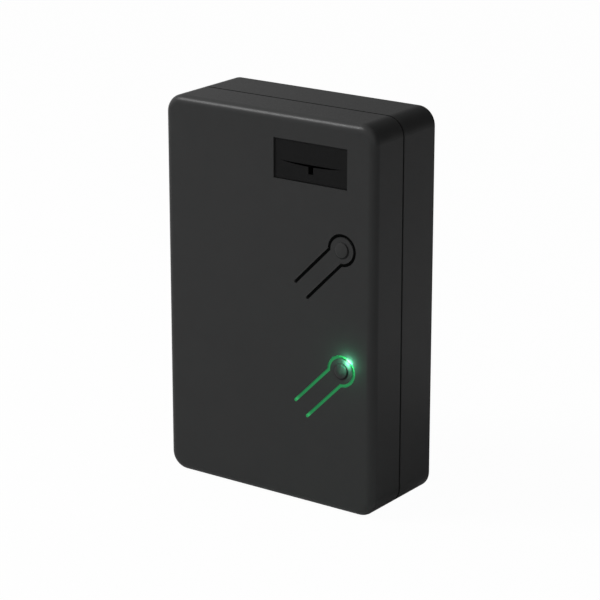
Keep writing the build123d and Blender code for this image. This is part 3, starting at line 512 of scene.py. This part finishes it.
node_finishes = {
    "front_cover": ("front_plastic", front_plastic),
    "rear_cover": ("case_plastic", case_plastic),
    "button_upper": ("upper_button_plastic", button_plastic("upper")),
    "button_lower": ("lower_button_plastic", button_plastic("lower")),
    "window_insert": ("window_plastic", window_plastic),
    "cable_grommet": ("bush_rubber", bush_rubber),
    "light_guide_lower": ("lit_guide", lit_guide),
    "light_guide_upper": ("dark_guide", dark_guide),
    "led_lower": ("lit_lamp_resin", lamp_resin(True)),
    "led_upper": ("dark_lamp_resin", lamp_resin(False)),
    "led_sleeves": ("sleeve_nylon", sleeve_nylon),
    "case_screws": ("black_screws", black_screws),
    "board_screws": ("zinc_screws", zinc_screws),
    "circuit_board": ("green_board", green_board),
    "receiver_board": ("green_board", green_board),
    "receiver_header": ("black_moulding", black_moulding),
    "receiver_pins": ("tinned", tinned),
    "receiver_shield": ("tinned_shield", tinned_shield),
    "antenna_coil": ("copper_wire", copper_wire),
    "switch_plates": ("tinned", tinned),
    "tact_switch_upper": ("black_moulding", black_moulding),
    "tact_switch_lower": ("black_moulding", black_moulding),
    "switch_stem_upper": ("stem_nylon", stem_nylon),
    "switch_stem_lower": ("stem_nylon", stem_nylon),
    "terminal_block": ("terminal_green", terminal_green),
    "terminal_screws": ("zinc_screws", zinc_screws),
    "terminal_cages": ("nickel_cages", nickel_cages),
    "relay_channel_1": ("relay_blue", relay_blue),
    "relay_channel_2": ("relay_blue", relay_blue),
    "relay_diodes": ("banded_diode", banded_diode),
    "driver_transistors": ("black_epoxy", black_epoxy),
    "smoothing_capacitors": ("banded_can", banded_can),
    "voltage_regulator": ("black_epoxy", black_epoxy),
    "fuse": ("fuse_brown", fuse_brown),
    "varistor": ("varistor_blue", varistor_blue),
    "bridge_rectifier": ("black_epoxy", black_epoxy),
    "microcontroller": ("black_epoxy", black_epoxy),
    "microcontroller_leads": ("tinned", tinned),
    "memory_chip": ("black_epoxy", black_epoxy),
    "memory_chip_leads": ("tinned", tinned),
    "quartz_crystal": ("crystal_can", crystal_can),
    "chip_resistors": ("resistor_black", resistor_black),
    "chip_capacitors": ("capacitor_tan", capacitor_tan),
    "chip_end_caps": ("tinned", tinned),
}
for node_name, (finish_name, build) in node_finishes.items():
    material = finish(finish_name, build)
    slots = nodes[node_name].material_slots
    if not slots:
        nodes[node_name].data.materials.append(material)
    for slot in slots:
        slot.material = material


# Pieces worked out as surfaces

def add(name, data):
    """An object with this data, in the scene."""
    made = bpy.data.objects.new(name, data)
    bpy.context.scene.collection.objects.link(made)
    return made


def mesh_of(name, points, faces):
    """A mesh from points, whose last axis is x, y and z, and faces given as corner numbers."""
    mesh = bpy.data.meshes.new(name)
    mesh.from_pydata(points.reshape(-1, 3).tolist(), [], faces)
    mesh.update()
    return mesh


def piece(name, mesh, material, body):
    made = add(name, mesh)
    mesh.materials.append(material)
    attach(made, body)
    return made


COIL_RADIUS = 2.7 * MM
COIL_WIRE = 0.4 * MM
COIL_PITCH = 3.0 * MM
COIL_TURNS = 10
COIL_LEG = 4.0 * MM
COIL_TAIL = 2 * COIL_WIRE
COIL_STEPS = 26
WIRE_SIDES = 16


def capped_tube(rings):
    """The faces of a grid of points whose rows are rings along a tube, with a face on each end."""
    rows, columns = rings.shape[:2]
    row, column = np.meshgrid(np.arange(rows - 1), np.arange(columns), indexing="ij")
    start, ahead, after = row * columns, (row + 1) * columns, (column + 1) % columns
    quads = np.stack([start + column, start + after, ahead + after, ahead + column], axis=-1)
    first_end = list(range(columns - 1, -1, -1))
    last_end = list(range((rows - 1) * columns, rows * columns))
    return quads.reshape(-1, 4).tolist() + [first_end, last_end]


def antenna_wire():
    """Round spring wire. Its middle goes round a circle in x and y by cos and sin of the turn while
    it climbs in z by one pitch a turn; straight ends carry on along the first and last headings.
    Each ring is the middle plus the wire's radius times the cos of its angle outwards and the sin
    sideways."""
    low, high = (np.array(corner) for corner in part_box("antenna_coil"))
    x = (low[0] + high[0]) / 2
    y = low[1] + COIL_WIRE + COIL_RADIUS
    slope = np.array([0.0, -COIL_RADIUS, COIL_PITCH / (2 * np.pi)])
    slope /= np.linalg.norm(slope)
    leg = COIL_LEG / abs(slope[1])
    start_z = high[2] - COIL_PITCH * COIL_TURNS - COIL_WIRE - COIL_TAIL * slope[2]
    turn = np.linspace(0, 2 * np.pi * COIL_TURNS, COIL_STEPS * COIL_TURNS + 1)
    outward = np.stack([np.cos(turn), -np.sin(turn), 0 * turn], axis=1)
    middle = np.array([x, y, start_z]) + COIL_RADIUS * outward
    middle[:, 2] += COIL_PITCH * turn / (2 * np.pi)
    heading = np.stack([-COIL_RADIUS * np.sin(turn), -COIL_RADIUS * np.cos(turn),
                        0 * turn + COIL_PITCH / (2 * np.pi)], axis=1)
    heading /= np.linalg.norm(heading, axis=1, keepdims=True)
    foot, top = middle[0] - leg * heading[0], middle[-1] + COIL_TAIL * heading[-1]
    middle = np.vstack([foot, middle, top])
    outward = np.vstack([outward[0], outward, outward[-1]])
    heading = np.vstack([heading[0], heading, heading[-1]])
    sideways = np.cross(heading, outward)
    angle = np.linspace(0, 2 * np.pi, WIRE_SIDES, endpoint=False)[None, :, None]
    around = np.cos(angle) * outward[:, None] + np.sin(angle) * sideways[:, None]
    rings = middle[:, None] + COIL_WIRE * around
    mesh = mesh_of("antenna_wire", rings, capped_tube(rings))
    made = piece("antenna_wire", mesh, finishes["copper_wire"], "rear_case")
    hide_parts("antenna_coil")


INK_WIDTH = 0.18 * MM
INK_HEIGHT = 0.02 * MM
INK_MARGIN = 0.45 * MM
OUTLINED = ("relay_channel_1", "relay_channel_2", "smoothing_capacitors", "voltage_regulator",
            "fuse", "varistor", "bridge_rectifier", "microcontroller_leads", "memory_chip_leads",
            "quartz_crystal", "tact_switch_upper", "tact_switch_lower", "terminal_block")


def white_ink(tree, place):
    """Screen-printed ink, slightly worn."""
    wear = noise(tree, place, 0.3 * MM, detail=3.0)
    return {
        "Base Color": tint(tree, wear, (0.55, 0.56, 0.54), (0.72, 0.73, 0.71)),
        "Roughness": rough_from(tree, wear, 0.5, 0.65),
        "Normal": relief(tree, wear, 0.004 * MM, strength=0.5),
    }


def printed_outlines():
    """Ink outlines round the larger parts. Each is a closed band: a grid whose rows are the four
    corners of a rectangle and whose columns are the band's section, inner and outer edge, low and
    high."""
    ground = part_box("circuit_board")[0][1]
    corners = np.array([(-1, -1), (1, -1), (1, 1), (-1, 1)])
    section = np.array([(0, 0), (INK_WIDTH, 0), (INK_WIDTH, INK_HEIGHT), (0, INK_HEIGHT)])
    boxes = np.array([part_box(name) for name in OUTLINED], dtype=float)
    middle = boxes[:, :, [0, 2]].mean(axis=1)
    half = np.ptp(boxes[:, :, [0, 2]], axis=1) / 2 + INK_MARGIN
    points = np.zeros((len(boxes), len(corners), len(section), 3))
    reach = half[:, None, None] + section[None, None, :, :1]
    points[..., [0, 2]] = middle[:, None, None] + corners[None, :, None] * reach
    points[..., 1] = ground - section[None, None, :, 1]
    index = np.arange(points[..., 0].size).reshape(points.shape[:3])
    ahead = np.roll(index, -1, axis=1)
    quads = np.stack([index, ahead, np.roll(ahead, -1, axis=2), np.roll(index, -1, axis=2)],
                     axis=-1)
    mesh = mesh_of("printed_outlines", points, quads.reshape(-1, 4).tolist())
    made = piece("printed_outlines", mesh, finish("white_ink", white_ink), "rear_case")


antenna_wire()
printed_outlines()


# Light, floor and camera. The camera's angles are in degrees, its lens and sensor in millimetres

AMBIENT = (0.34, 0.34, 0.344)
AMBIENT_AWAY = (0.06, 0.06, 0.06)
MIRRORED_AWAY = (0.06, 0.06, 0.06)
SIDEWAYS_SHARE = 0.6
AMBIENT_FADE = (-0.2, 1.0)
MIRRORED_FADE = (-0.1, 0.6)
FLOOR_SIZE = 3.0
FLOOR_DROP = 0.2 * MM
FLOOR_COLOUR = (0.80, 0.80, 0.80, 1.0)
FLOOR_GLOW = 0.975
OBJECT_MIDDLE = (0.0, 0.0, 0.055)
GLOW_RIGHT, GLOW_DOWN = 0.2 * MM, 0.4 * MM
GLOW_SIZE = 0.4 * MM
CAMERA_PLACE = (0.3816, -0.5335, 0.2604)
CAMERA_TURN = 35.53
CAMERA_DROP = 17.54
CAMERA_LENS = 148.16
CAMERA_SENSOR = 36.0
CAMERA_NEAR = 0.01


def seen_directly(tree):
    """1 for what the camera sees, straight or through clear plastic, and 0 for falling light."""
    path = put(tree, "ShaderNodeLightPath").outputs
    return math_of(tree, "MAXIMUM", path["Is Camera Ray"], path["Is Transmission Ray"])


def set_world():
    """White where the eye sees it; the object is lit and mirrored by a studio that is bright in
    front and dim behind."""
    world = bpy.data.worlds.new("studio")
    bpy.context.scene.world = world
    tree = empty_tree(world)
    x, y, _ = along(tree, put(tree, "ShaderNodeTexCoord").outputs["Generated"])
    away = math_of(tree, "ADD", y, math_of(tree, "MULTIPLY", x, SIDEWAYS_SHARE))
    mirrored = tint(tree, spread(tree, away, *MIRRORED_FADE), WHITE, MIRRORED_AWAY)
    scattered = tint(tree, spread(tree, away, *AMBIENT_FADE), AMBIENT, AMBIENT_AWAY)
    glossy = put(tree, "ShaderNodeLightPath").outputs["Is Glossy Ray"]
    colour = tint(tree, seen_directly(tree), tint(tree, glossy, scattered, mirrored), WHITE)
    background = put(tree, "ShaderNodeBackground", inputs={"Color": colour, "Strength": 1.0})
    output = put(tree, "ShaderNodeOutputWorld")
    tree.links.new(background.outputs[0], output.inputs["Surface"])


def floor():
    """A pale floor that looks white, and still takes a little of the object's shadow."""
    corners = np.array([(-1, -1, 0), (1, -1, 0), (1, 1, 0), (-1, 1, 0)]) * (FLOOR_SIZE / 2)
    mesh = mesh_of("floor", corners - (0, 0, FLOOR_DROP), [(0, 1, 2, 3)])
    made = add("floor", mesh)
    material = bpy.data.materials.new("pale_floor")
    tree = empty_tree(material)
    plain = put(tree, "ShaderNodeBsdfDiffuse", inputs={"Color": FLOOR_COLOUR}).outputs[0]
    glow = put(tree, "ShaderNodeEmission", inputs={"Color": (*WHITE, 1.0), "Strength": 1.0})
    share = math_of(tree, "MULTIPLY", seen_directly(tree), FLOOR_GLOW)
    mix = put(tree, "ShaderNodeMixShader", inputs={0: share, 1: plain, 2: glow.outputs[0]})
    output = put(tree, "ShaderNodeOutputMaterial")
    tree.links.new(mix.outputs[0], output.inputs["Surface"])
    mesh.materials.append(material)


def softbox(name, place, size, power, mirrored):
    """A square area lamp that faces the object's middle. Gloss shows it only if it is mirrored."""
    lamp = bpy.data.lights.new(name, "AREA")
    lamp.size = size
    lamp.energy = power
    made = add(name, lamp)
    made.location = place
    toward = np.array(OBJECT_MIDDLE) - np.array(place)
    tilt = math.atan2(math.hypot(toward[0], toward[1]), -toward[2])
    turn = math.atan2(toward[0], -toward[1]) + math.pi
    made.rotation_euler = (tilt, 0.0, turn)
    made.visible_glossy = mirrored


def lamp_glow(name, ahead, power, colour):
    """Glow that the lit lamp throws on the plastic round it, from a point ahead of the guide."""
    lamp = bpy.data.lights.new(name, "POINT")
    lamp.energy = power
    lamp.color = colour
    lamp.shadow_soft_size = GLOW_SIZE
    made = add(name, lamp)
    x, y, z = LIT_LAMP
    made.location = (x + GLOW_RIGHT, y - ahead, z - GLOW_DOWN)
    made.visible_glossy = False


def camera():
    """The photograph's view, found by fitting the case's corners."""
    data = bpy.data.cameras.new("camera")
    data.sensor_width = CAMERA_SENSOR
    data.lens = CAMERA_LENS
    data.clip_start = CAMERA_NEAR
    made = add("camera", data)
    made.location = CAMERA_PLACE
    made.rotation_euler = (math.radians(90 - CAMERA_DROP), 0.0, math.radians(CAMERA_TURN))
    bpy.context.scene.camera = made


set_world()
floor()
softbox("key", (-0.52, -0.42, 0.78), size=0.30, power=6.5, mirrored=True)
softbox("fill", (0.70, -1.00, 0.12), size=0.8, power=4.4, mirrored=False)
softbox("back", (-0.50, 1.10, 0.15), size=0.8, power=2.4, mirrored=False)
lamp_glow("lamp_halo", ahead=1.35 * MM, power=0.0042, colour=(0.02, 1.0, 0.46))
lamp_glow("lamp_core", ahead=1.15 * MM, power=0.0012, colour=(0.9, 1.0, 0.8))
camera()
bpy.context.scene.view_settings.view_transform = "Standard"
